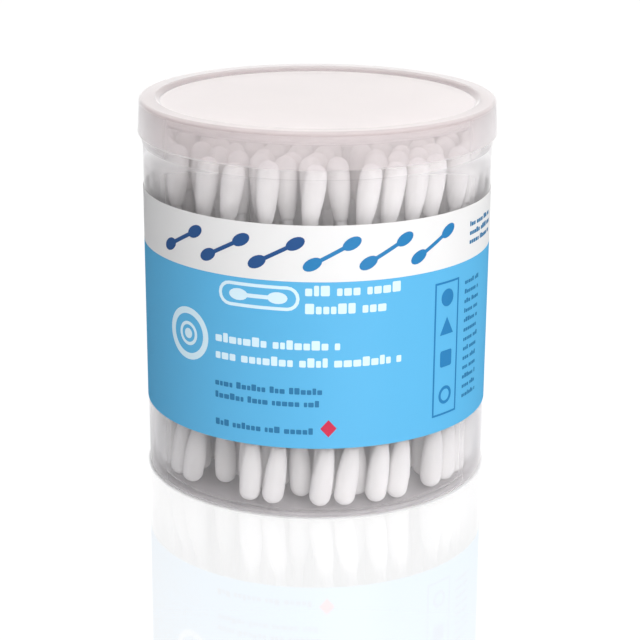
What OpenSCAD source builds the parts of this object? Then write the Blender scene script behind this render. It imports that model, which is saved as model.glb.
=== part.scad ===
// Round tub of cotton swabs: a frosted tub with a wrap label, a press-on lid and rings of leaning swabs.
// The origin is the centre of the resting face, with +Z up.

/* [Tub] */
// Outer radius of the tub just under the lid
tub_r = 37.5; // [33:0.5:45]
// How much narrower the wall is at its foot, so that it leaves its mould
tub_draft = 0.25; // [0:0.05:1]
// Height of the tub's rim
tub_h = 81.3; // [79.5:0.2:95]
// Thickness of the tub's wall
tub_wall = 1.2; // [1:0.1:1.8]
// Thickness of the tub's floor
floor_t = 1.1; // [0.8:0.1:2]
// Radius of the rounded edge at the foot
foot_round = 0.8; // [0.4:0.1:1.6]
// Radius of the rounded corner inside, between the floor and the wall
floor_round = 1; // [0.4:0.1:1.6]
// Width of the ring that the tub stands on
foot_w = 2.2; // [1.5:0.1:4]
// Depth of the hollow underside inside that ring
foot_hollow = 0.3; // [0.2:0.05:0.6]
// Diameter of the moulding mark in the middle of the underside
gate_d = 5; // [3:0.5:9]
// Height of the neck that the lid covers
neck_h = 7.1; // [5:0.1:9]
// How far the neck is set in from the wall
neck_step = 0.3; // [0.2:0.05:0.4]
// How far the shoulder ring under the lid stands out
shoulder_out = 0.25; // [0.1:0.05:0.5]
// Height of the shoulder ring
shoulder_h = 1.8; // [1:0.1:3]
// How far the bead at the rim stands out from the neck
bead_out = 0.15; // [0.1:0.05:0.25]
// Height of the bead
bead_h = 1.5; // [1:0.1:2.5]

/* [Lid] */
// Thickness of the lid
lid_wall = 0.7; // [0.6:0.1:1.2]
// Space between the lid's skirt and the bead, on the radius
lid_fit = 0.1; // [0.1:0.05:0.3]
// Space between the lid and the tub where the lid is seated
lid_seat = 0.3; // [0.2:0.05:0.6]
// How much wider the skirt is at its lower edge, on the radius
lid_flare = 0.4; // [0.1:0.05:0.8]
// Width of the raised rim on top
lid_rim_w = 3.4; // [3.1:0.1:4]
// Depth of the panel below the raised rim
lid_recess = 1.1; // [0.6:0.1:1.6]
// Width of the sloping wall between the rim and the panel
lid_slope_w = 0.9; // [0.5:0.1:2]
// Radius of the rounded top edge
lid_round = 0.7; // [0.3:0.1:0.8]
// Size of the bevel on the skirt's lower edge
lid_bevel = 0.45; // [0.2:0.05:0.6]

/* [Label] */
// Height of the label's lower edge above the resting face
label_z = 15.7; // [8:0.1:25]
// Height of the label itself
label_h = 47.5; // [35:0.1:55]
// Thickness of the label film
label_t = 0.12; // [0.08:0.02:0.3]
// Thickness of the glue under the film
label_glue = 0.04; // [0.02:0.01:0.1]
// Length of the glued overlap at the back
label_lap = 8; // [4:1:15]

/* [Swab] */
// Length of a swab with its heads
swab_l = 73.8; // [60:0.2:75]
// Largest diameter of a cotton head
head_d = 4.7; // [4:0.1:5.4]
// Length of a cotton head
head_l = 13; // [10:0.5:16]
// Distance from a head's end to its widest place
head_belly = 4.5; // [4:0.5:6]
// Thickness of the cotton where the head runs out on the stick
head_edge = 0.2; // [0.1:0.05:0.3]
// Cotton between the stick's end and the head's end
head_cap = 2.4; // [1.5:0.1:3]
// Outer diameter of the stick
stick_d = 2.3; // [2:0.1:2.6]
// Bore of the hollow stick
stick_bore = 1.1; // [0.6:0.1:1.4]
// Space between the stick and the cotton wound on it, on the radius
wound_fit = 0.03; // [0.01:0.01:0.05]

/* [Filling] */
// Least space between two heads side by side in a ring
head_gap = 0.4; // [0.3:0.05:1]
// Least space between the heads of two rings
ring_gap = 0.35; // [0.3:0.05:1]
// Space between the outer heads and the foot of the tub's wall
side_gap = 0.35; // [0.3:0.05:1]
// Space between the heads and the floor
floor_gap = 0.3; // [0.3:0.05:0.6]
// Share of the outer ring's places that hold a swab
outer_share = 0.76; // [0.5:0.02:0.84]
// Share of the other rings' places that hold a swab
inner_share = 0.82; // [0.5:0.02:0.84]
// How unevenly the free room is shared out, 1 being the most even
clumping = 5; // [1:1:8]
// Direction in which the first swab of each ring stands, in degrees
first_angle = 197; // [0:1:359]
// Turn of the upper ends of the odd rings, which makes the swabs lean, in degrees
odd_turn = 13; // [0:1:15]
// Turn of the upper ends of the even rings, which lean the other way
even_turn = -12; // [-15:1:0]
// How far the upper ends follow an arrangement of their own, 0 being not at all
upper_freedom = 0.8; // [0:0.05:0.8]
// Number that picks the arrangement of the lower ends
lower_seed = 640; // [1:1:999]
// Number that picks the arrangement of the upper ends
upper_seed = 442; // [1:1:999]

/* [Hidden] */
$fn = 180;
// Fine enough for the long shallow curve of a head
head_fn = 360;
eps = 0.01;

foot_r = tub_r - tub_draft;
shoulder_z = tub_h - neck_h;
neck_r = tub_r - neck_step;
bead_r = neck_r + bead_out;
mouth_r = tub_r - tub_wall;
inner_foot_r = foot_r - tub_wall;

lid_top_z = tub_h + lid_seat + lid_wall;
skirt_top_r = bead_r + lid_fit;
skirt_low_r = skirt_top_r + lid_flare;
skirt_z = shoulder_z + lid_seat;
lid_r = skirt_top_r + lid_wall;
panel_z = lid_top_z - lid_recess;
rim_in_r = lid_r - lid_rim_w;
panel_r = rim_in_r - lid_slope_w;

outer_ring_r = inner_foot_r - side_gap - head_d / 2;
// The innermost ring still has room for three heads that stand together
least_ring_r = (head_d + head_gap) / sqrt(3);
ring_pitch = head_d + ring_gap;
rings = floor((outer_ring_r - least_ring_r) / ring_pitch) + 1;
swab_z = floor_t + floor_gap;
stick_l = swab_l - 2 * head_cap;
seed_step = 7;
corner_steps = 8;
ring_names = [
    for (k = [1:rings]) for (piece = ["sticks", "upper_cotton", "lower_cotton"]) str(piece, "_ring_", k)
];

// Outer radius of the tapered wall at a height
function wall_r(z) = foot_r + tub_draft * (z - foot_round) / (shoulder_z - foot_round);

// Radius of ring k, counted inwards from 1
function ring_r(k) = outer_ring_r - (k - 1) * ring_pitch;

// Angle that one head takes up on ring k
function head_angle(k) = 2 * asin((head_d + head_gap) / 2 / ring_r(k));

// Number of swabs that stand in ring k
function ring_count(k) = max(3, floor((k == 1 ? outer_share : inner_share) * 360 / head_angle(k)));

// Running total of the first i values
function total(v, i) = i == 0 ? 0 : total(v, i - 1) + v[i - 1];

// Shares of the free room, a few large and most small
function shares(n, seed) =
    let (draws = [for (v = rands(0, 1, n, seed)) pow(v, clumping)])
    let (all = total(draws, n))
    [for (v = draws) v / all];

// Angles at which ring k's swabs stand in the arrangement that a number picks
function arrangement(k, seed) =
    let (n = ring_count(k))
    let (parts = shares(n, seed + k * seed_step))
    let (free = 360 - n * head_angle(k))
    [for (i = [0:n - 1]) first_angle + i * head_angle(k) + free * total(parts, i)];

function on_ring(r, a) = [r * cos(a), r * sin(a)];

// Points of a rounded corner, from one angle to another
function corner(middle, r, from, to) =
    [for (i = [0:corner_steps]) middle + on_ring(r, from + (to - from) * i / corner_steps)];

// Half of the tub's section, cut on its axis
module tub_section() {
    difference() {
        union() {
            translate([foot_r - foot_round, foot_round]) circle(foot_round);
            square([foot_r - foot_round, 2 * foot_round]);
            polygon([
                [0, foot_round], [foot_r, foot_round], [tub_r, shoulder_z], [neck_r, shoulder_z],
                [neck_r, tub_h], [0, tub_h]
            ]);
            shoulder_section();
            bead_section();
        }
        translate([inner_foot_r - floor_round, floor_t + floor_round]) circle(floor_round);
        translate([-eps, floor_t]) square([inner_foot_r - floor_round + eps, 2 * floor_round]);
        polygon([
            [-eps, floor_t + floor_round], [inner_foot_r, floor_t + floor_round], [mouth_r, shoulder_z],
            [mouth_r, tub_h + eps], [-eps, tub_h + eps]
        ]);
        translate([-eps, -eps]) square([foot_r - foot_round - foot_w + eps, foot_hollow + eps]);
    }
}

// Rounded ring that stands out under the lid
module shoulder_section() {
    intersection() {
        translate([tub_r + shoulder_out - shoulder_h, shoulder_z - shoulder_h / 2]) circle(shoulder_h);
        translate([neck_r, shoulder_z - shoulder_h]) square([shoulder_h, shoulder_h]);
    }
}

// Rounded bead at the rim that the lid grips
module bead_section() {
    intersection() {
        translate([bead_r - bead_h, tub_h - bead_h / 2]) circle(bead_h);
        translate([mouth_r, tub_h - bead_h]) square([bead_h, bead_h]);
    }
}

module tub() {
    color([0.86, 0.86, 0.87, 0.5]) {
        rotate_extrude() tub_section();
        gate_mark();
    }
}

// Low round mark that the mould leaves in the hollow underside
module gate_mark() {
    translate([0, 0, foot_hollow / 2]) cylinder(d = gate_d, h = foot_hollow / 2 + eps);
}

// Half of the lid's section, cut on its axis
module lid_section() {
    difference() {
        polygon(concat(
            [[0, skirt_z], [0, panel_z], [panel_r, panel_z], [rim_in_r, lid_top_z]],
            corner([lid_r - lid_round, lid_top_z - lid_round], lid_round, 90, 0),
            [[skirt_low_r + lid_wall, skirt_z + lid_bevel], [skirt_low_r + lid_wall - lid_bevel, skirt_z]]
        ));
        polygon([
            [-eps, skirt_z - eps], [skirt_low_r, skirt_z - eps], [skirt_low_r, skirt_z],
            [skirt_top_r, tub_h + lid_seat], [rim_in_r + lid_wall, tub_h + lid_seat],
            [panel_r + lid_wall, panel_z - lid_wall], [-eps, panel_z - lid_wall]
        ]);
    }
}

module lid() {
    color([0.9, 0.89, 0.89, 0.5]) rotate_extrude() lid_section();
}

// Strip of label film round the wall: clear is its distance from the wall, thick its thickness
module label_strip(clear, thick, sweep) {
    top_z = label_z + label_h;
    rotate_extrude(angle = sweep) polygon([
        [wall_r(label_z) + clear, label_z], [wall_r(label_z) + clear + thick, label_z],
        [wall_r(top_z) + clear + thick, top_z], [wall_r(top_z) + clear, top_z]
    ]);
}

module label() {
    lap_angle = label_lap / tub_r * 180 / PI;
    color([0.3, 0.66, 0.9]) {
        label_strip(label_glue, label_t, 360);
        rotate([0, 0, 90]) label_strip(label_glue + label_t - eps, label_t + eps, lap_angle);
    }
}

// Half of a cotton head's outline, with its end at the origin and the stick going up
module head_outline() {
    root_r = stick_d / 2 + head_edge;
    belly_r = head_d / 2;
    rise = head_l - head_belly;
    side_r = (rise * rise + (belly_r - root_r) * (belly_r - root_r)) / 2 / (belly_r - root_r);
    inset = side_r - belly_r;
    // The round end meets the long side curve without an edge
    end_r = (side_r * side_r - inset * inset - head_belly * head_belly) / 2 / (side_r - head_belly);
    meet_z = end_r - end_r * (head_belly - end_r) / (side_r - end_r);
    intersection() {
        translate([-inset, head_belly]) circle(side_r, $fn = head_fn);
        translate([0, meet_z]) square([head_d, head_l - meet_z]);
    }
    intersection() {
        translate([0, end_r]) circle(end_r);
        square([head_d, meet_z]);
    }
}

// Cotton wound on the end of a stick
module cotton_head() {
    difference() {
        rotate_extrude() head_outline();
        translate([0, 0, head_cap - wound_fit]) cylinder(d = stick_d + 2 * wound_fit, h = head_l);
    }
}

module stick() {
    translate([0, 0, head_cap]) difference() {
        cylinder(d = stick_d, h = stick_l);
        translate([0, 0, -eps]) cylinder(d = stick_bore, h = stick_l + 2 * eps);
    }
}

// Puts a swab's piece at each place of ring k, leaning from its lower to its upper end
module each_swab(k) {
    lower = arrangement(k, lower_seed);
    goal = arrangement(k, upper_seed);
    upper = lower + upper_freedom * (goal - lower);
    turn = k % 2 == 1 ? odd_turn : even_turn;
    for (i = [0:ring_count(k) - 1]) {
        from = on_ring(ring_r(k), lower[i]);
        reach = on_ring(ring_r(k), upper[i] + turn) - from;
        translate([from.x, from.y, swab_z])
            rotate([0, asin(norm(reach) / swab_l), atan2(reach.y, reach.x)])
            children();
    }
}

module sticks_ring(k) {
    color([0.97, 0.97, 0.96]) each_swab(k) stick();
}

module upper_cotton_ring(k) {
    color([1, 1, 0.99]) each_swab(k) translate([0, 0, swab_l]) mirror([0, 0, 1]) cotton_head();
}

module lower_cotton_ring(k) {
    color([1, 1, 0.99]) each_swab(k) cotton_head();
}

tub();
lid();
label();
for (k = [1:rings]) {
    sticks_ring(k);
    upper_cotton_ring(k);
    lower_cotton_ring(k);
}
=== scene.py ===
# A round tub of cotton swabs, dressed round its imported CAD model. Metres, +Z up, front at -Y.
import math

import bmesh
import bpy
import numpy as np
from mathutils import Matrix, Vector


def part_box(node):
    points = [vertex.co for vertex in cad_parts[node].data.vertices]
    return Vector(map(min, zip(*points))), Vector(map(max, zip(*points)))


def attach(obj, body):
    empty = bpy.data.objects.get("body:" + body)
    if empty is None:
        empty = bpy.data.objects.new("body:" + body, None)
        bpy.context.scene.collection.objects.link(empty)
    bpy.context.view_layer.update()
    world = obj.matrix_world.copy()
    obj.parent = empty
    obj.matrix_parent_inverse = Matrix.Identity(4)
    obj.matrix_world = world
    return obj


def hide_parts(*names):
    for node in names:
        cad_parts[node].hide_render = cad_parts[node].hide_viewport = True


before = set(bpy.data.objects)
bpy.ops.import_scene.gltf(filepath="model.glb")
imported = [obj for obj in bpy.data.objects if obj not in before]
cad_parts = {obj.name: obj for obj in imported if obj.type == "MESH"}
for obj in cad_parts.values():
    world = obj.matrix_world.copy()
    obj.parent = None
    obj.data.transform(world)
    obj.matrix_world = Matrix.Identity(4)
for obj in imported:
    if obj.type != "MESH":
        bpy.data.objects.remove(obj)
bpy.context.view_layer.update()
mm = 0.001  # sizes in the dictionaries are millimetres unless a note says otherwise


# Making and dressing pieces

def addObject(name, data):
    thing = bpy.data.objects.new(name, data)
    bpy.context.scene.collection.objects.link(thing)
    return thing


def newPiece(name, corners, faces):
    mesh = bpy.data.meshes.new(name)
    mesh.from_pydata([tuple(c) for c in corners], [], faces)
    mesh.validate()
    mesh.shade_smooth()
    return addObject(name, mesh)


def dress(piece, material, body, nodes=()):
    piece.data.materials.clear()
    piece.data.materials.append(material)
    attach(piece, body)
    if nodes:
        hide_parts(*nodes)


# Node trees: an input takes either a plain value or another node's socket

def startMaterial(name):
    material = bpy.data.materials.new(name)
    material.use_nodes = True
    tree = material.node_tree
    tree.nodes.clear()
    return material, tree, tree.nodes.new("ShaderNodeOutputMaterial")


def addNode(tree, kind, inputs=None, **settings):
    node = tree.nodes.new(kind)
    for key, value in settings.items():
        setattr(node, key, value)
    for key, value in (inputs or {}).items():
        if isinstance(value, bpy.types.NodeSocket):
            tree.links.new(value, node.inputs[key])
        else:
            node.inputs[key].default_value = value
    return node


def mathOf(tree, operation, one, other):
    return addNode(tree, "ShaderNodeMath", {0: one, 1: other}, operation=operation).outputs[0]


def mixShaders(tree, share, low, high):
    return addNode(tree, "ShaderNodeMixShader", {"Fac": share, 1: low.outputs[0], 2: high.outputs[0]})


def noiseAt(tree, place, scale, detail, bend=0):
    return addNode(tree, "ShaderNodeTexNoise", {
        "Vector": place, "Scale": scale, "Detail": detail, "Distortion": bend}).outputs["Fac"]


def spreadValue(tree, source, low, high):
    return addNode(tree, "ShaderNodeMapRange", {
        "Value": source, "To Min": low, "To Max": high}).outputs["Result"]


def spreadColour(tree, source, low, high):
    ramp = addNode(tree, "ShaderNodeValToRGB", {"Fac": source})
    ramp.color_ramp.elements[0].color = (*low, 1)
    ramp.color_ramp.elements[1].color = (*high, 1)
    return ramp.outputs["Color"]


def timesColour(tree, one, other):
    return addNode(tree, "ShaderNodeVectorMath", {0: one, 1: other}, operation="MULTIPLY").outputs["Vector"]


def bumpFrom(tree, height, strength, distance):
    return addNode(tree, "ShaderNodeBump", {
        "Height": height, "Strength": strength, "Distance": distance}).outputs["Normal"]


# Steps in a material, at a radius from the tub's axis or at a height

stepBlur = {
    "radius": 0.2,
    "height": 0.1,
}


def stepAt(tree, source, edge, blur, before, after):
    return addNode(tree, "ShaderNodeMapRange", {
        "Value": source, "From Min": (edge - blur) * mm, "From Max": (edge + blur) * mm,
        "To Min": before, "To Max": after}).outputs["Result"]


def nearAxis(tree, place, radius, inside, outside):
    flat = addNode(tree, "ShaderNodeVectorMath", {0: place, 1: (1, 1, 0)}, operation="MULTIPLY")
    reach = addNode(tree, "ShaderNodeVectorMath", {0: flat.outputs["Vector"]}, operation="LENGTH")
    return stepAt(tree, reach.outputs["Value"], radius, stepBlur["radius"], inside, outside)


def above(tree, place, height, below, over):
    apart = addNode(tree, "ShaderNodeSeparateXYZ", {0: place})
    return stepAt(tree, apart.outputs["Z"], height, stepBlur["height"], below, over)


# Frosted plastic: a matt milky veil over see-through plastic

frosted = {
    "clear": (0.98, 0.975, 0.98),
    "throughGlow": 0.68,  # share of the veil that is lit from behind
    "grain": 2600,
    "grainBump": 0.12,
    "grainDepth": 0.00004,  # metres
    "cloud": 45,
    "cloudVeil": (0.96, 1.04),  # kept small, as more makes streaks in the cleaned render
    "rough": (0.3, 0.4),
    "edgeGloss": 4.5,  # higher keeps the gloss to grazing angles
    "glossRough": 0.42,
    "glossColour": (0.97, 0.96, 0.96),
    "dim": 20,  # how fast the plastic's thickness darkens it
    "dimColour": (0.30, 0.27, 0.30),
}
tubPlasticLook = {
    "milk": (0.88, 0.865, 0.87),
    "warm": (0.93, 0.905, 0.905),
    "veil": 0.18,
    "innerVeil": 0.36,  # on the floor, inside innerR
    "innerR": 35.6,
    "lipZ": 79.4,  # the rim's edge has a veil and a tint of its own; on the lid that tint is painted shade
    "lipVeil": 0.7,
    "lipTintAndShade": (1, 0.985, 0.985),
}
lidPlasticLook = {
    "milk": (0.955, 0.905, 0.90),
    "warm": (0.98, 0.935, 0.925),
    "veil": 0.22,
    "innerVeil": 0.82,  # on the panel, inside innerR
    "innerR": 33.7,
    "lipZ": 81.3,
    "lipVeil": 0.32,
    # painted shade: the lid above lipZ, rim and panel included, is darkened by this tint
    "lipTintAndShade": (0.93, 0.91, 0.91),
}


def frostedPlastic(name, look):
    material, tree, out = startMaterial(name)
    place = addNode(tree, "ShaderNodeTexCoord").outputs["Object"]
    cloud = noiseAt(tree, place, frosted["cloud"], 3)
    grain = noiseAt(tree, place, frosted["grain"], 2)
    normal = bumpFrom(tree, grain, frosted["grainBump"], frosted["grainDepth"])
    lip = above(tree, place, look["lipZ"], 0, 1)
    # painted shade on the lid: above lipZ the colour and the see-through are darkened by its lip tint; the
    # tub's tint is faint
    lipColourAndShade = spreadColour(tree, lip, (1, 1, 1), look["lipTintAndShade"])
    milk = timesColour(tree, spreadColour(tree, cloud, look["milk"], look["warm"]), lipColourAndShade)
    body = addNode(tree, "ShaderNodeBsdfPrincipled", {
        "Base Color": milk, "Specular IOR Level": 0.5, "Normal": normal,
        "Roughness": spreadValue(tree, cloud, *frosted["rough"])})
    glow = addNode(tree, "ShaderNodeBsdfTranslucent", {"Color": milk})
    lit = mixShaders(tree, frosted["throughGlow"], body, glow)
    clear = addNode(tree, "ShaderNodeBsdfTransparent", {
        "Color": spreadColour(tree, lip, frosted["clear"], look["lipTintAndShade"])})
    inner = nearAxis(tree, place, look["innerR"], look["innerVeil"], look["veil"])
    thicker = mathOf(tree, "MAXIMUM", inner, spreadValue(tree, lip, 0, look["lipVeil"]))
    haze = mathOf(tree, "MULTIPLY", thicker, spreadValue(tree, cloud, *frosted["cloudVeil"]))
    veiled = mixShaders(tree, haze, clear, lit)
    satin = addNode(tree, "ShaderNodeBsdfGlossy", {
        "Color": (*frosted["glossColour"], 1), "Roughness": frosted["glossRough"], "Normal": normal})
    facing = addNode(tree, "ShaderNodeLayerWeight", {"Blend": 0.5}).outputs["Facing"]
    glossy = mixShaders(tree, mathOf(tree, "POWER", facing, frosted["edgeGloss"]), veiled, satin)
    tree.links.new(glossy.outputs[0], out.inputs["Surface"])
    dim = addNode(tree, "ShaderNodeVolumeAbsorption", {
        "Color": (*frosted["dimColour"], 1), "Density": frosted["dim"]})
    tree.links.new(dim.outputs[0], out.inputs["Volume"])
    return material


# Label film and its inks: smooth plastic film with a little gloss

film = {
    "gloss": 0.03,
    "glossRough": (0.3, 0.34),
    "matt": 0.6,
    "through": 0.1,  # light that comes through the white film
    "wave": 90,
    "waveBump": 0.06,
    "waveDepth": 0.0002,  # metres
    "unevenness": 0.03,
    "paper": (0.80, 0.792, 0.788),
    "sky": (0.085, 0.395, 0.67),
    "pale": (0.60, 0.76, 0.84),
    "navy": (0.004, 0.06, 0.21),
    "blue": (0.006, 0.17, 0.40),
    "teal": (0.01, 0.15, 0.32),
    "red": (0.52, 0.006, 0.05),
}


def filmInk(name, colour, through=0):
    material, tree, out = startMaterial(name)
    place = addNode(tree, "ShaderNodeTexCoord").outputs["Object"]
    wave = noiseAt(tree, place, film["wave"], 4)
    darker = tuple(c * (1 - film["unevenness"]) for c in colour)
    normal = bumpFrom(tree, wave, film["waveBump"], film["waveDepth"])
    inked = addNode(tree, "ShaderNodeBsdfPrincipled", {
        "Base Color": spreadColour(tree, wave, darker, colour), "Specular IOR Level": 0,
        "Roughness": film["matt"], "Normal": normal})
    if through:
        glow = addNode(tree, "ShaderNodeBsdfTranslucent", {"Color": (*colour, 1)})
        inked = mixShaders(tree, through, inked, glow)
    satin = addNode(tree, "ShaderNodeBsdfGlossy", {
        "Color": (1, 1, 1, 1), "Roughness": spreadValue(tree, wave, *film["glossRough"]),
        "Normal": normal})
    glossy = mixShaders(tree, film["gloss"], inked, satin)
    tree.links.new(glossy.outputs[0], out.inputs["Surface"])
    return material


# Cotton: fibres wound round the head, along the mesh's own u and v

cottonLook = {
    "white": (0.99, 0.985, 0.975),
    "shade": (0.955, 0.945, 0.93),
    "strands": (5, 70, 1),  # how closely they lie round the head and along it
    "strandBend": 0.4,
    "slant": 0.12,  # radians
    "fuzz": 2900,
    "fuzzShare": 0.45,
    "bump": 0.7,
    "bumpDepth": 0.00016,  # metres
    "matt": 0.95,
    "diffuse": 1.0,
    "shine": 0.15,
    "sheen": 0.7,
    "sheenRough": 0.6,
}


def cottonMaterial():
    look = cottonLook
    material, tree, out = startMaterial("wound cotton")
    around = addNode(tree, "ShaderNodeTexCoord")
    slanted = addNode(tree, "ShaderNodeMapping", {
        "Vector": around.outputs["UV"], "Rotation": (0, 0, look["slant"]), "Scale": look["strands"]})
    strands = noiseAt(tree, slanted.outputs[0], 1.0, 5, look["strandBend"])
    fuzz = noiseAt(tree, around.outputs["Object"], look["fuzz"], 3)
    both = addNode(tree, "ShaderNodeMath", {0: fuzz, 1: look["fuzzShare"], 2: strands},
                   operation="MULTIPLY_ADD").outputs[0]
    body = addNode(tree, "ShaderNodeBsdfPrincipled", {
        "Base Color": spreadColour(tree, strands, look["shade"], look["white"]),
        "Roughness": look["matt"], "Diffuse Roughness": look["diffuse"],
        "Specular IOR Level": look["shine"],
        "Sheen Weight": look["sheen"], "Sheen Roughness": look["sheenRough"],
        "Normal": bumpFrom(tree, both, look["bump"], look["bumpDepth"])})
    tree.links.new(body.outputs[0], out.inputs["Surface"])
    return material


stickLook = {
    "white": (0.88, 0.88, 0.87),
    "shade": (0.83, 0.835, 0.83),
    "grain": 900,
    "rough": (0.3, 0.42),
    "bump": 0.1,
    "bumpDepth": 0.0001,  # metres
}


def stickMaterial():
    look = stickLook
    material, tree, out = startMaterial("white stick plastic")
    place = addNode(tree, "ShaderNodeTexCoord").outputs["Object"]
    grain = noiseAt(tree, place, look["grain"], 2)
    body = addNode(tree, "ShaderNodeBsdfPrincipled", {
        "Base Color": spreadColour(tree, grain, look["shade"], look["white"]),
        "Roughness": spreadValue(tree, grain, *look["rough"]), "Specular IOR Level": 0.5,
        "Normal": bumpFrom(tree, grain, look["bump"], look["bumpDepth"])})
    tree.links.new(body.outputs[0], out.inputs["Surface"])
    return material


# Turned sections: corners are (radius, height, rounding). They run from the axis on the
# underside out round the edge and back to the axis on top, so that faces look outwards.

turning = {
    "sides": 256,
    "arcSteps": 5,
    "beadSteps": 8,
    "support": 0.1,  # an extra ring beside each arc keeps the flat faces' shading flat
    "longest": 4.0,  # longest stretch between rings
    "onAxis": 1e-6,
}


def roundedOutline(corners):
    points = []
    for i, (r, z, soft) in enumerate(corners):
        here = np.array((r, z), float)
        if soft == 0 or i in (0, len(corners) - 1):
            points.append(here)
            continue
        back = np.array(corners[i - 1][:2], float) - here
        ahead = np.array(corners[i + 1][:2], float) - here
        back /= np.linalg.norm(back)
        ahead /= np.linalg.norm(ahead)
        half = math.acos(np.clip(back @ ahead, -1, 1)) / 2
        start = here + back * soft / math.tan(half)
        end = here + ahead * soft / math.tan(half)
        middle = here + (back + ahead) / np.linalg.norm(back + ahead) * soft / math.sin(half)
        points.append(start + back * turning["support"])
        for s in range(turning["arcSteps"] + 1):
            share = s / turning["arcSteps"]
            spoke = (start - middle) * (1 - share) + (end - middle) * share
            points.append(middle + spoke / np.linalg.norm(spoke) * soft)
        points.append(end + ahead * turning["support"])
    filled = [points[0]]
    for point in points[1:]:
        cuts = max(1, math.ceil(np.linalg.norm(point - filled[-1]) / turning["longest"]))
        first = filled[-1]
        filled += [first + (point - first) * (c + 1) / cuts for c in range(cuts)]
    return filled


def turned(name, outline):
    sides = turning["sides"]
    corners = []
    rings = []
    for r, z in outline:
        if r < turning["onAxis"]:
            rings.append([len(corners)] * sides)
            corners.append((0, 0, z * mm))
            continue
        rings.append(list(range(len(corners), len(corners) + sides)))
        for s in range(sides):
            a = 2 * math.pi * s / sides
            corners.append((r * mm * math.cos(a), r * mm * math.sin(a), z * mm))
    faces = []
    for low, high in zip(rings, rings[1:]):
        for s in range(sides):
            t = (s + 1) % sides
            face = [low[s], low[t], high[t], high[s]]
            face = [v for i, v in enumerate(face) if v not in face[:i]]
            faces.append(tuple(face))
    return newPiece(name, corners, faces)


# The tub

tubSizes = {
    "height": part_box("tub")[1].z / mm,
    "wallR": 37.5,
    "draft": 0.25,
    "wall": 1.2,
    "floor": 1.1,
    "floorRound": 1.0,
    "footRound": 0.8,
    "footWidth": 2.2,
    "footHollow": 0.3,
    "gateR": 2.5,  # the mark that moulding leaves under the floor
    "neck": 7.1,
    "neckStep": 0.3,
    "ringOut": 0.25,
    "ringHeight": 1.8,
    "beadOut": 0.15,
    "beadHeight": 1.5,
    "mouthRound": 0.25,
    "shoulderRound": 0.2,
    "sharpRound": 0.1,
}
shoulderZ = tubSizes["height"] - tubSizes["neck"]
neckR = tubSizes["wallR"] - tubSizes["neckStep"]
footR = tubSizes["wallR"] - tubSizes["draft"]
mouthR = tubSizes["wallR"] - tubSizes["wall"]


def wallR(z):
    s = tubSizes
    return footR + s["draft"] * (z - s["footRound"]) / (shoulderZ - s["footRound"])


def bulge(reach, height, top):
    points = []
    for i in range(turning["beadSteps"] + 1):
        across = (0.5 - i / turning["beadSteps"]) * height
        r = reach - height + math.sqrt(height ** 2 - across ** 2)
        points.append((r, top - height / 2 - across, 0))
    return points


def makeTub():
    s = tubSizes
    sharp = s["sharpRound"]
    hollowR = footR - s["footRound"] - s["footWidth"]
    outline = [
        (0, s["footHollow"] / 2, 0),
        (s["gateR"], s["footHollow"] / 2, sharp),
        (s["gateR"], s["footHollow"], sharp),
        (hollowR, s["footHollow"], sharp),
        (hollowR, 0, sharp),
        (footR, 0, s["footRound"]),
        (wallR(shoulderZ - s["ringHeight"]), shoulderZ - s["ringHeight"], 0),
        *bulge(s["wallR"] + s["ringOut"], s["ringHeight"], shoulderZ),
        (neckR, shoulderZ, sharp),
        (neckR, s["height"] - s["beadHeight"], 0),
        *bulge(neckR + s["beadOut"], s["beadHeight"], s["height"]),
        (mouthR, s["height"], s["mouthRound"]),
        (mouthR, shoulderZ, s["shoulderRound"]),
        (footR - s["wall"], s["floor"], s["floorRound"]),
        (0, s["floor"], 0),
    ]
    return turned("tub_moulding", roundedOutline(outline))


# The lid

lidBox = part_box("lid")
lidSizes = {
    "top": lidBox[1].z / mm,
    "bottom": lidBox[0].z / mm,
    "wall": 0.7,
    "fit": 0.1,
    "seat": 0.3,
    "flare": 0.4,
    "rim": 3.4,
    "recess": 1.1,
    "slope": 0.9,
    "bevel": 0.45,
    "topRound": 0.7,
    "rimRound": 0.35,
    "panelRound": 0.3,
    "bevelRound": 0.12,
    "lowRound": 0.1,
}


def makeLid():
    s = lidSizes
    skirtTop = neckR + tubSizes["beadOut"] + s["fit"]
    skirtLow = skirtTop + s["flare"]
    outer = skirtTop + s["wall"]
    rimIn = outer - s["rim"]
    panelR = rimIn - s["slope"]
    panelZ = s["top"] - s["recess"]
    under = tubSizes["height"] + s["seat"]
    outline = [
        (0, panelZ - s["wall"], 0),
        (panelR + s["wall"], panelZ - s["wall"], s["panelRound"]),
        (rimIn + s["wall"], under, s["panelRound"]),
        (skirtTop, under, s["panelRound"]),
        (skirtLow, s["bottom"], s["bevelRound"]),
        (skirtLow + s["wall"] - s["bevel"], s["bottom"], s["lowRound"]),
        (skirtLow + s["wall"], s["bottom"] + s["bevel"], s["bevelRound"]),
        (outer, s["top"], s["topRound"]),
        (rimIn, s["top"], s["rimRound"]),
        (panelR, panelZ, s["panelRound"]),
        (0, panelZ, 0),
    ]
    return turned("lid_moulding", roundedOutline(outline))


# The label: one strip of film from its start at the back, once round and over its own start

label = {
    "bottom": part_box("label")[0].z / mm,
    "top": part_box("label")[1].z / mm,
    "film": 0.12,
    "glue": 0.04,
    "lap": 8,
    "climb": 6,  # how long the film takes to rise over its own start
    "ink": 0.015,
    "inkGap": 0.004,
    "step": 0.9,
    "rows": 10,
    "sharp": 40,  # degrees
}
labelR = wallR((label["bottom"] + label["top"]) / 2) + label["glue"] + label["film"] / 2
onceRound = 2 * math.pi * labelR
frontX = onceRound / 2


def filmPoint(x, z, lift):
    rise = min(1, max(0, (x - onceRound + label["climb"]) / label["climb"]))
    rise = rise * rise * (3 - 2 * rise)
    r = wallR(z) + label["glue"] + rise * (label["film"] + label["ink"]) + lift
    a = math.pi / 2 + x / labelR
    return r * mm * math.cos(a), r * mm * math.sin(a), z * mm


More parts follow.
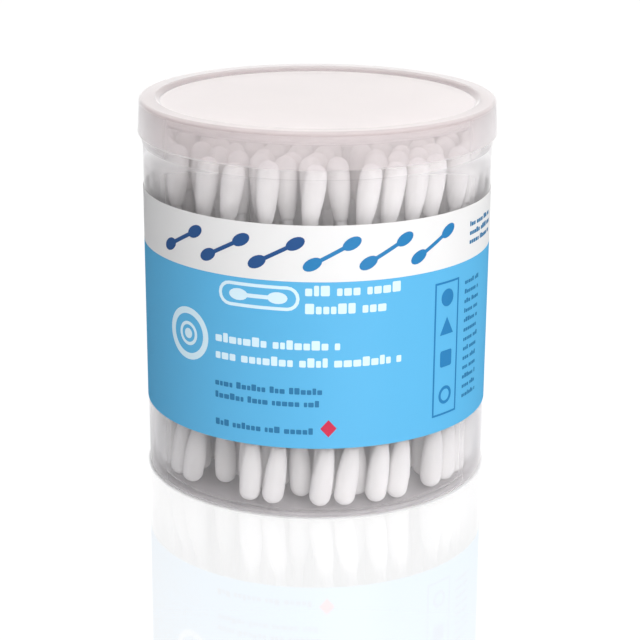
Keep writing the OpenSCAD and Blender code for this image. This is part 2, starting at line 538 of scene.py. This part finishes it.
def sharpEdges(piece, degrees):
    cut = bmesh.new()
    cut.from_mesh(piece.data)
    for edge in cut.edges:
        edge.smooth = edge.calc_face_angle(0) < math.radians(degrees)
    cut.to_mesh(piece.data)
    cut.free()


def makeLabelFilm():
    columns = math.ceil((onceRound + label["lap"]) / label["step"])
    rows = label["rows"]
    corners = []
    for lift in (0, label["film"]):
        for c in range(columns + 1):
            x = (onceRound + label["lap"]) * c / columns
            for r in range(rows + 1):
                z = label["bottom"] + (label["top"] - label["bottom"]) * r / rows
                corners.append(filmPoint(x, z, lift))
    skin = (columns + 1) * (rows + 1)

    def spot(layer, c, r):
        return layer * skin + c * (rows + 1) + r

    faces = []
    for c in range(columns):
        d = c + 1
        for r in range(rows):
            faces.append((spot(1, c, r), spot(1, d, r), spot(1, d, r + 1), spot(1, c, r + 1)))
            faces.append((spot(0, c, r), spot(0, c, r + 1), spot(0, d, r + 1), spot(0, d, r)))
        faces.append((spot(0, c, 0), spot(0, d, 0), spot(1, d, 0), spot(1, c, 0)))
        faces.append((spot(0, c, rows), spot(1, c, rows), spot(1, d, rows), spot(0, d, rows)))
    end = columns
    for r in range(rows):
        faces.append((spot(0, 0, r), spot(1, 0, r), spot(1, 0, r + 1), spot(0, 0, r + 1)))
        faces.append((spot(0, end, r), spot(0, end, r + 1), spot(1, end, r + 1), spot(1, end, r)))
    piece = newPiece("label_film", corners, faces)
    sharpEdges(piece, label["sharp"])
    return piece


# Print: flat shapes in millimetres, cut into strips and bent round. Their x runs along the
# film from the front's middle, and z is the height.

def settleOrder(parts, key):
    for place, part in enumerate(sorted(parts, key=key)):
        part.index = place
    parts.sort()  # extruding leaves them in an order that changes between runs


def inkLayer(name, shapes, layer):
    flat = bmesh.new()
    for shape in shapes:
        flat.faces.new([flat.verts.new((x + frontX, z, 0)) for x, z in shape])
    leftEnd = min(v.co.x for v in flat.verts)
    rightEnd = max(v.co.x for v in flat.verts)
    for c in range(math.ceil(leftEnd / label["step"]), math.ceil(rightEnd / label["step"])):
        everything = flat.verts[:] + flat.edges[:] + flat.faces[:]
        bmesh.ops.bisect_plane(flat, geom=everything, dist=1e-5,
                               plane_co=(c * label["step"], 0, 0), plane_no=(1, 0, 0))
    grown = bmesh.ops.extrude_face_region(flat, geom=flat.faces[:])
    for v in grown["geom"]:
        if isinstance(v, bmesh.types.BMVert):
            v.co.z = 1
    bmesh.ops.recalc_face_normals(flat, faces=flat.faces)  # before bending, while shapes are thick
    settleOrder(flat.verts, lambda v: tuple(v.co))
    settleOrder(flat.faces, lambda f: [tuple(v.co) for v in f.verts])
    for v in flat.verts:
        lift = label["film"] + label["ink"] * (layer - 1 + v.co.z) + label["inkGap"]
        v.co = filmPoint(v.co.x, v.co.y, lift)
    mesh = bpy.data.meshes.new(name)
    flat.to_mesh(mesh)
    flat.free()
    return addObject(name, mesh)


def rectShape(left, right, low, high):
    return [(left, low), (right, low), (right, high), (left, high)]


def barShape(left, right, low, high, soft, steps=4):
    soft = min(soft, (high - low) / 2, (right - left) / 2) * 0.98  # never a full half circle
    shape = []
    for cx, cz, start in ((right - soft, low + soft, -90), (right - soft, high - soft, 0),
                          (left + soft, high - soft, 90), (left + soft, low + soft, 180)):
        for i in range(steps + 1):
            a = math.radians(start + 90 * i / steps)
            shape.append((cx + soft * math.cos(a), cz + soft * math.sin(a)))
    return shape


def discShape(x, z, r, sides=32):
    return [(x + r * math.cos(2 * math.pi * i / sides), z + r * math.sin(2 * math.pi * i / sides))
            for i in range(sides)]


def outlineShapes(outer, inner):
    sides = len(outer)
    return [(inner[i], outer[i], outer[(i + 1) % sides], inner[(i + 1) % sides]) for i in range(sides)]


def ringShapes(x, z, r, width, sides=40):
    return outlineShapes(discShape(x, z, r, sides), discShape(x, z, r - width, sides))


swabPicture = {
    "headLength": 4.2,
    "headHalf": 1.25,
    "stickHalf": 0.42,
    "steps": 8,
}


def swabShape(x, z, length, slant):
    s = swabPicture
    half = s["headLength"] / 2
    opening = math.asin(s["stickHalf"] / s["headHalf"])
    shape = []
    for side in (1, -1):
        for i in range(2 * s["steps"] + 1):
            a = (math.pi - opening) * (i / s["steps"] - 1)
            shape.append((side * (length / 2 - half + half * math.cos(a)),
                          side * s["headHalf"] * math.sin(a)))
    across = math.cos(math.radians(slant))
    up = math.sin(math.radians(slant))
    return [(x + px * across - pz * up, z + px * up + pz * across) for px, pz in shape]


# Rows of plain blocks in groups; widths, heights and gaps are shares of the row's height
blockRows = {
    "count": (3, 8),  # blocks in a group, up to one less than the second
    "wide": (0.45, 0.85),
    "tallOnes": 0.25,  # how many of the blocks reach the full height
    "shorter": 0.72,
    "rounding": 0.12,
    "between": 0.16,
    "groupGap": 0.5,
    "endGap": 0.6,
}


def blockBars(left, right, low, height, seed):
    b = blockRows
    rng = np.random.default_rng(seed)
    shapes = []
    x = left
    while x < right - height * b["endGap"]:
        for _ in range(rng.integers(*b["count"])):
            wide = height * rng.uniform(*b["wide"])
            if x + wide > right:
                break
            tall = height * (1.0 if rng.random() < b["tallOnes"] else b["shorter"])
            shapes.append(barShape(x, x + wide, low, low + tall, height * b["rounding"]))
            x += wide + height * b["between"]
        x += height * b["groupGap"]
    return shapes


labelPrint = {
    "bandLine": 51.5,  # the sky field ends here and the white band starts
    "swabs": 6,  # slanted swabs on the band, the first ones darker
    "darkSwabs": 3,
    "swabX": -31,  # the first swab's middle
    "swabStep": 11.4,
    "swabZ": 57.3,
    "swabLength": 13.2,
    "swabSlant": 28,  # degrees
    "capsule": (-20.8, -3.3, 45.3, 50.5),  # left, right, low, high
    "capsuleRound": 2.6,
    "capsuleLine": 0.7,
    "capsuleSwab": 12.6,
    "target": (-29.4, 37.1),
    "targetRings": ((5.7, 1.4), (2.6, 0.7)),  # radius and width
    "targetDisc": 1.1,
    "panel": (26.6, 34.2, 19.2, 48.6),  # the frame with the simple shapes
    "panelLine": 0.45,
    "panelDisc": (45.0, 1.9),  # height and radius
    "panelWedge": (37.0, 40.8, 2.1),  # low, high and half its width
    "panelBlock": (29.9, 33.5, 1.8),  # low, high and half its width
    "panelBlockRound": 0.5,
    "panelRing": (23.6, 2.0, 0.7),  # height, radius and width
    "diamond": (2.7, 20.1, 1.7, 1.9),  # middle, half its width and half its height
}
paleRows = [  # left, right, low, height and seed
    (-2.2, 18.5, 48.6, 2.2, 11),
    (-2.2, 15.8, 44.8, 2.2, 12),
    (-21.8, 5.4, 37.1, 2.0, 13),
    (-21.8, 19, 33.4, 2.0, 14),
]
tealRows = [
    (-22, 1.5, 27.5, 1.4, 21),
    (-22, 1.5, 24.8, 1.4, 22),
    (-22, -0.5, 18.8, 1.4, 23),
    *[(36.6, 43.4, 46.4 - 2.1 * row, 1.0, 40 + row) for row in range(13)],
    *[(38.0, 51, 58.6 - 1.9 * row, 1.1, 60 + row) for row in range(3)],
]


def palePrint():
    p = labelPrint
    left, right, low, high = p["capsule"]
    line = p["capsuleLine"]
    shapes = outlineShapes(
        barShape(left, right, low, high, p["capsuleRound"]),
        barShape(left + line, right - line, low + line, high - line, p["capsuleRound"] - line))
    shapes.append(swabShape((left + right) / 2, (low + high) / 2, p["capsuleSwab"], 0))
    for row in paleRows:
        shapes += blockBars(*row)
    for radius, width in p["targetRings"]:
        shapes += ringShapes(*p["target"], radius, width)
    shapes.append(discShape(*p["target"], p["targetDisc"]))
    return shapes


def bandSwabs(first, last):
    p = labelPrint
    return [swabShape(p["swabX"] + p["swabStep"] * i, p["swabZ"], p["swabLength"], p["swabSlant"])
            for i in range(first, last)]


def panelPrint():
    p = labelPrint
    left, right, low, high = p["panel"]
    line = p["panelLine"]
    middle = (left + right) / 2
    wedgeLow, wedgeHigh, wedgeHalf = p["panelWedge"]
    blockLow, blockHigh, blockHalf = p["panelBlock"]
    return [
        rectShape(left, right, low, low + line),
        rectShape(left, right, high - line, high),
        rectShape(left, left + line, low + line, high - line),
        rectShape(right - line, right, low + line, high - line),
        discShape(middle, *p["panelDisc"]),
        [(middle - wedgeHalf, wedgeLow), (middle + wedgeHalf, wedgeLow), (middle, wedgeHigh)],
        barShape(middle - blockHalf, middle + blockHalf, blockLow, blockHigh, p["panelBlockRound"]),
        *ringShapes(middle, *p["panelRing"]),
    ]


def printLabel():
    p = labelPrint
    sky = rectShape(-frontX, frontX + label["lap"], label["bottom"], p["bandLine"])
    teal = []
    for row in tealRows:
        teal += blockBars(*row)
    x, z, halfWide, halfTall = p["diamond"]
    diamond = [(x, z - halfTall), (x + halfWide, z), (x, z + halfTall), (x - halfWide, z)]
    return [
        ("print_sky", [sky], film["sky"], 1),
        ("print_pale", palePrint(), film["pale"], 2),
        ("print_navy", bandSwabs(0, p["darkSwabs"]), film["navy"], 2),
        ("print_teal", teal, film["teal"], 2),
        ("print_blue", bandSwabs(p["darkSwabs"], p["swabs"]) + panelPrint(), film["blue"], 2),
        ("print_red", [diamond], film["red"], 2),
    ]


# Cotton heads: each one turned about its swab's axis, lumpy and ridged where it was wound

head = {
    "length": 13,
    "width": 4.7,
    "belly": 4.5,  # from the tip to the widest place
    "edge": 0.2,
    "cap": 2.4,  # cotton over the stick's end
    "stickR": 1.15,
    "fit": 0.03,
    "rows": 30,
    "sides": 26,
}
winding = {
    "lump": 0.07,
    "lumpSpread": 2.4,  # the waves' sum is about this much either way
    "lumpSink": 0.2,
    "lumpDrift": 0.5,
    "lumpSize": (0.3, 1),
    "sway": 0.6,  # slow change of width from tip to root
    "swayPace": (0.5, 0.9),
    "ridge": 0.03,
    "ridgeSpread": 1.5,
    "ridgeSink": 0.5,
    "pitch": (1.5, 2.3),  # from ridge to ridge
    "patchy": 0.4,
    "patchPace": 0.7,
    "fineRidge": 0.5,
    "finePace": 5.2,
    "fullTurn": 6.28,
    "toneSpread": 50,  # each head takes its own stretch of the fibre noise
}
fibres = {
    "count": 14,
    "radius": 0.012,
    "sides": 3,
    "steps": 6,
    "slope": (-0.6, 0.9),
    "length": (1.2, 3.2),
    "along": 0.7,  # how much of its slope a fibre takes along the head
    "rise": (0.05, 0.16),
    "rooted": 0.03,
    "fromTip": 0.6,
    "fromRoot": 0.4,
}
swabLength = 73.8  # from tip to tip


def headProfile():
    h = head
    root = h["stickR"] + h["edge"]
    belly = h["width"] / 2
    rise = h["length"] - h["belly"]
    sideR = (rise ** 2 + (belly - root) ** 2) / 2 / (belly - root)
    inset = sideR - belly
    endR = (sideR ** 2 - inset ** 2 - h["belly"] ** 2) / 2 / (sideR - h["belly"])
    meet = endR - endR * (h["belly"] - endR) / (sideR - endR)  # where the round end meets the side
    points = []
    endRows = h["rows"] // 3
    stop = math.acos((endR - meet) / endR)
    for i in range(1, endRows + 1):
        a = stop * i / endRows
        points.append((endR - endR * math.cos(a), endR * math.sin(a)))
    for i in range(1, h["rows"] - endRows + 1):
        s = meet + (h["length"] - meet) * i / (h["rows"] - endRows)
        points.append((s, math.sqrt(sideR ** 2 - (s - h["belly"]) ** 2) - inset))
    return np.array(points)


# Each separate stick in a CAD node gives its swab's lower end and its direction
def swabLines(node):
    work = bmesh.new()
    work.from_mesh(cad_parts[node].data)
    bmesh.ops.remove_doubles(work, verts=work.verts[:], dist=1e-6)
    left = set(work.verts)
    lines = []
    for start in work.verts:
        if start not in left:
            continue
        left.discard(start)
        group = [start]
        for v in group:
            for edge in v.link_edges:
                other = edge.other_vert(v)
                if other in left:
                    left.discard(other)
                    group.append(other)
        spots = np.array([v.co for v in group])
        axis = np.linalg.svd(spots - spots.mean(0), full_matrices=False)[2][0]
        axis *= np.sign(axis[2])
        reach = (spots - spots.mean(0)) @ axis
        middle = spots.mean(0) + axis * (reach.max() + reach.min()) / 2
        lines.append((middle - axis * swabLength * mm / 2, axis))
    work.free()
    return sorted(lines, key=lambda line: math.atan2(line[0][1], line[0][0]))


def anyTurn(rng):
    return rng.uniform(0, winding["fullTurn"])


def headSkin(rng, profile):
    h = head
    w = winding
    turns = 2 * np.pi * np.arange(h["sides"]) / h["sides"]
    s = profile[:, :1]
    ease = np.sin(np.pi * np.clip(s / h["length"], 0, 1) ** 0.6) ** 0.5  # smooth tip and root
    lumps = w["sway"] * np.cos(s * rng.uniform(*w["swayPace"]) + anyTurn(rng))
    for wave in (1, 2, 3):
        drift = anyTurn(rng) + s * rng.uniform(-w["lumpDrift"], w["lumpDrift"])
        lumps = lumps + rng.uniform(*w["lumpSize"]) / wave * np.cos(wave * turns + drift)
    pitch = rng.uniform(*w["pitch"])
    ridges = np.sin(2 * np.pi * s / pitch - turns + anyTurn(rng))
    patches = np.cos(2 * turns + s * w["patchPace"] + anyTurn(rng))
    ridges = ridges * (1 - w["patchy"] + w["patchy"] * patches)
    fine = np.sin(w["finePace"] * np.pi * s / pitch - 2 * turns + anyTurn(rng))
    ridges = ridges + w["fineRidge"] * fine
    lift = w["lump"] * (lumps / w["lumpSpread"] - w["lumpSink"])
    lift = lift + w["ridge"] * (ridges / w["ridgeSpread"] - w["ridgeSink"])
    r = profile[:, 1:] + ease * lift
    return s + 0 * r, r, turns + 0 * r


def alongLine(s, r, turn):
    return np.stack((r * np.cos(turn), r * np.sin(turn), s), axis=-1)


# A head's corners: the two ends of its axis, then the rings of its skin and two of its bore
def headCorners(rng, profile):
    h = head
    s, r, turn = headSkin(rng, profile)
    bore = h["stickR"] + h["fit"]
    inner = np.array([(h["length"], bore), (h["cap"], bore)])
    sIn = inner[:, :1] + 0 * turn[:2]
    rIn = inner[:, 1:] + 0 * turn[:2]
    rings = alongLine(np.vstack((s, sIn)), np.vstack((r, rIn)), np.vstack((turn, turn[:2])))
    poles = np.array([(0, 0, 0), (0, 0, h["cap"])])
    return np.vstack((poles, rings.reshape(-1, 3))), s, r


def headFaces(start, rings):
    n = head["sides"]
    first = start + 2
    faces = [(start, first + (i + 1) % n, first + i) for i in range(n)]
    for k in range(rings - 1):
        row = first + k * n
        faces += [(row + i, row + (i + 1) % n, row + n + (i + 1) % n, row + n + i) for i in range(n)]
    row = first + (rings - 1) * n
    faces += [(start + 1, row + i, row + (i + 1) % n) for i in range(n)]
    return faces


def fibre(rng, s, r):
    f = fibres
    row = rng.integers(2, len(s) - 3)
    turn = anyTurn(rng)
    slope = rng.uniform(*f["slope"])
    length = rng.uniform(*f["length"])
    rise = rng.uniform(*f["rise"])
    steps = np.linspace(0, 1, f["steps"])
    sMid = s[row, 0] + steps * length * slope * f["along"]
    sMid = np.clip(sMid, f["fromTip"], head["length"] - f["fromRoot"])
    rMid = np.interp(sMid, s[:, 0], r.mean(1)) + rise * np.sin(np.pi * steps) - f["rooted"]
    turnMid = turn + steps * length / rMid
    middle = alongLine(sMid, rMid, turnMid)
    ahead = np.gradient(middle, axis=0)
    ahead /= np.linalg.norm(ahead, axis=1)[:, None]
    out = middle * (1, 1, 0)
    out /= np.linalg.norm(out, axis=1)[:, None]
    side = np.cross(ahead, out)
    corners = []
    for k in range(f["steps"]):
        for i in range(f["sides"]):
            a = 2 * math.pi * i / f["sides"]
            corners.append(middle[k] + f["radius"] * (out[k] * math.cos(a) + side[k] * math.sin(a)))
    return corners


def fibreFaces(start):
    n = fibres["sides"]
    last = start + n * (fibres["steps"] - 1)
    faces = [tuple(start + n - 1 - i for i in range(n)), tuple(last + i for i in range(n))]
    for low in range(start, last, n):
        faces += [(low + i, low + (i + 1) % n, low + n + (i + 1) % n, low + n + i) for i in range(n)]
    return faces


def onSwab(points, line, upper):
    base, axis = line
    up = np.array(axis)
    side = np.cross((0, 1, 0), up)
    side /= np.linalg.norm(side)
    fore = np.cross(up, side)
    if upper:
        base = base + up * swabLength * mm
        up, side = -up, -side
    return base + mm * (points[:, :1] * side + points[:, 1:2] * fore + points[:, 2:3] * up)


# Each face corner's u is its turn round the head, shifted by the head's tone, and v its
# place from the tip. The bore's end and the fibres need only the tone.
def makeCotton(name, lines, upper, seed):
    rng = np.random.default_rng(seed)
    profile = headProfile()
    rings = len(profile) + 2
    n = head["sides"]
    fibreLoops = 2 * fibres["sides"] + 4 * fibres["sides"] * (fibres["steps"] - 1)
    corners = []
    faces = []
    uvs = []
    count = 0
    for line in lines:
        headPoints, s, r = headCorners(rng, profile)
        faces += headFaces(count, rings)
        tone = rng.uniform(0, winding["toneSpread"])
        grid = np.vstack((s, s[-1:], s[-1:] * 0 + head["cap"]))[:, 0]
        uvs += [(tone + (i + f) / n, v) for i in range(n) for f, v in ((0.5, 0), (1, grid[0]), (0, grid[0]))]
        for k in range(rings - 1):
            for i in range(n):
                uvs += [(tone + i / n, grid[k]), (tone + (i + 1) / n, grid[k]),
                        (tone + (i + 1) / n, grid[k + 1]), (tone + i / n, grid[k + 1])]
        uvs += [(tone, 0)] * (3 * n)
        parts = [headPoints]
        count += len(headPoints)
        for _ in range(fibres["count"]):
            hair = fibre(rng, s, r)
            faces += fibreFaces(count)
            uvs += [(tone, 0)] * fibreLoops
            parts.append(np.array(hair))
            count += len(hair)
        corners.append(onSwab(np.vstack(parts), line, upper))
    piece = newPiece(name, np.vstack(corners), faces)
    layer = piece.data.uv_layers.new(name="wound")
    layer.data.foreach_set("uv", np.array(uvs, np.float32).ravel())
    return piece


# Floor and surround: both look white to the camera, and the floor keeps the tub's shadow

stage = {
    "floorSize": 6.0,  # metres
    "floorCells": 12,
    "floorGap": 0.03,
    "floorWhite": (0.86, 0.86, 0.865),
    "floorLift": 0.92,  # how far the camera sees plain white in place of the lit floor
    "floorGlow": 1.07,
    "shadeR": 37.6,  # under the tub the floor stays as it is lit
    "floorRough": 0.04,
    "floorIOR": 1.9,
    "surround": 1.0,
    "ambient": 0.19,
    "ambientColour": (0.95, 0.97, 1),
}


def cameraSees(tree, alsoGloss):
    path = addNode(tree, "ShaderNodeLightPath")
    if not alsoGloss:
        return path.outputs["Is Camera Ray"]
    return mathOf(tree, "MAXIMUM", path.outputs["Is Camera Ray"], path.outputs["Is Glossy Ray"])


def makeFloor():
    half = stage["floorSize"] / 2
    cells = stage["floorCells"]
    corners = [(-half + 2 * half * i / cells, -half + 2 * half * j / cells, -stage["floorGap"] * mm)
               for j in range(cells + 1) for i in range(cells + 1)]
    row = cells + 1
    faces = [(j * row + i, j * row + i + 1, (j + 1) * row + i + 1, (j + 1) * row + i)
             for j in range(cells) for i in range(cells)]
    floor = newPiece("studio_floor", corners, faces)
    material, tree, out = startMaterial("studio floor")
    matt = addNode(tree, "ShaderNodeBsdfDiffuse", {"Color": (*stage["floorWhite"], 1)})
    white = addNode(tree, "ShaderNodeEmission", {"Strength": stage["floorGlow"]})
    place = addNode(tree, "ShaderNodeTexCoord").outputs["Object"]
    besideTub = nearAxis(tree, place, stage["shadeR"], 0, stage["floorLift"])
    lifted = mixShaders(tree, mathOf(tree, "MULTIPLY", cameraSees(tree, False), besideTub), matt, white)
    gloss = addNode(tree, "ShaderNodeBsdfGlossy", {"Color": (1, 1, 1, 1), "Roughness": stage["floorRough"]})
    fresnel = addNode(tree, "ShaderNodeFresnel", {"IOR": stage["floorIOR"]}).outputs[0]
    polished = mixShaders(tree, fresnel, lifted, gloss)
    tree.links.new(polished.outputs[0], out.inputs["Surface"])
    floor.data.materials.append(material)


def makeWorld():
    world = bpy.data.worlds.new("studio surround")
    bpy.context.scene.world = world
    world.use_nodes = True
    tree = world.node_tree
    tree.nodes.clear()
    out = tree.nodes.new("ShaderNodeOutputWorld")
    soft = addNode(tree, "ShaderNodeBackground", {
        "Color": (*stage["ambientColour"], 1), "Strength": stage["ambient"]})
    white = addNode(tree, "ShaderNodeBackground", {
        "Color": (1, 1, 1, 1), "Strength": stage["surround"]})
    mix = mixShaders(tree, cameraSees(tree, True), soft, white)
    tree.links.new(mix.outputs[0], out.inputs["Surface"])


# Lights: turn is degrees from the front to the right, distances and sizes are metres

lights = {
    "key light": {"turn": 23, "rise": 32, "distance": 0.9, "wide": 0.6, "tall": 0.6, "power": 6.5},
    "right fill": {"turn": 95, "rise": 20, "distance": 0.9, "wide": 0.5, "tall": 0.7, "power": 0.4},
    "top light": {"turn": 0, "rise": 88, "distance": 0.8, "wide": 0.5, "tall": 0.5, "power": 4.6},
}
lightAimZ = 0.04


def softbox(name, turn, rise, distance, wide, tall, power):
    light = bpy.data.lights.new(name, "AREA")
    light.shape = "RECTANGLE"
    light.size = wide
    light.size_y = tall
    light.energy = power
    lamp = addObject(name, light)
    side = math.radians(turn)
    up = math.radians(rise)
    lamp.location = (distance * math.sin(side) * math.cos(up), -distance * math.cos(side) * math.cos(up),
                     lightAimZ + distance * math.sin(up))
    lamp.rotation_euler = (math.pi / 2 - up, 0, side)


# The camera, fitted to the lid's, label's and foot's edges in the photo; metres and degrees

view = {
    "focalPixels": 1951.6,
    "pictureWidth": 640,
    "sensor": 36,  # millimetres
    "nearest": 0.01,
    "pitch": 17.58,
    "roll": 0.37,
    "distance": 0.43314,
    "aimZ": 0.03169,
    "sideways": 0.00082,
}


def makeCamera():
    data = bpy.data.cameras.new("camera")
    data.sensor_width = view["sensor"]
    data.lens = view["focalPixels"] / view["pictureWidth"] * data.sensor_width
    data.clip_start = view["nearest"]
    camera = addObject("camera", data)
    pitch = math.radians(view["pitch"])
    place = (view["sideways"], -view["distance"] * math.cos(pitch),
             view["aimZ"] + view["distance"] * math.sin(pitch))
    camera.matrix_world = (Matrix.Translation(place) @ Matrix.Rotation(math.pi / 2 - pitch, 4, "X")
                           @ Matrix.Rotation(math.radians(view["roll"]), 4, "Z"))
    bpy.context.scene.camera = camera


# Put together

print("materials")
tubPlastic = frostedPlastic("frosted tub plastic", tubPlasticLook)
lidPlastic = frostedPlastic("frosted lid plastic", lidPlasticLook)
filmPlastic = filmInk("white label film", film["paper"], film["through"])
cotton = cottonMaterial()
stickPlastic = stickMaterial()

print("tub and lid")
dress(makeTub(), tubPlastic, "tub_body", ["tub"])
dress(makeLid(), lidPlastic, "lid_body", ["lid"])

print("label")
dress(makeLabelFilm(), filmPlastic, "tub_body", ["label"])
for name, shapes, colour, layer in printLabel():
    dress(inkLayer(name, shapes, layer), filmInk(name + " ink", colour), "tub_body")

print("swabs")
ringCount = sum(1 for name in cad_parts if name.startswith("sticks_ring_"))
for ring in range(1, ringCount + 1):
    sticks = "sticks_ring_" + str(ring)
    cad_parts[sticks].data.materials.clear()
    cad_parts[sticks].data.materials.append(stickPlastic)
    lines = swabLines(sticks)
    for upper, place in ((True, "upper"), (False, "lower")):
        node = place + "_cotton_ring_" + str(ring)
        piece = makeCotton(place + "_wound_cotton_" + str(ring), lines, upper, 100 * ring + upper)
        dress(piece, cotton, "tub_body", [node])

print("floor, lights and camera")
makeFloor()
makeWorld()
for name, light in lights.items():
    softbox(name, **light)
makeCamera()
bpy.context.scene.view_settings.view_transform = "Standard"
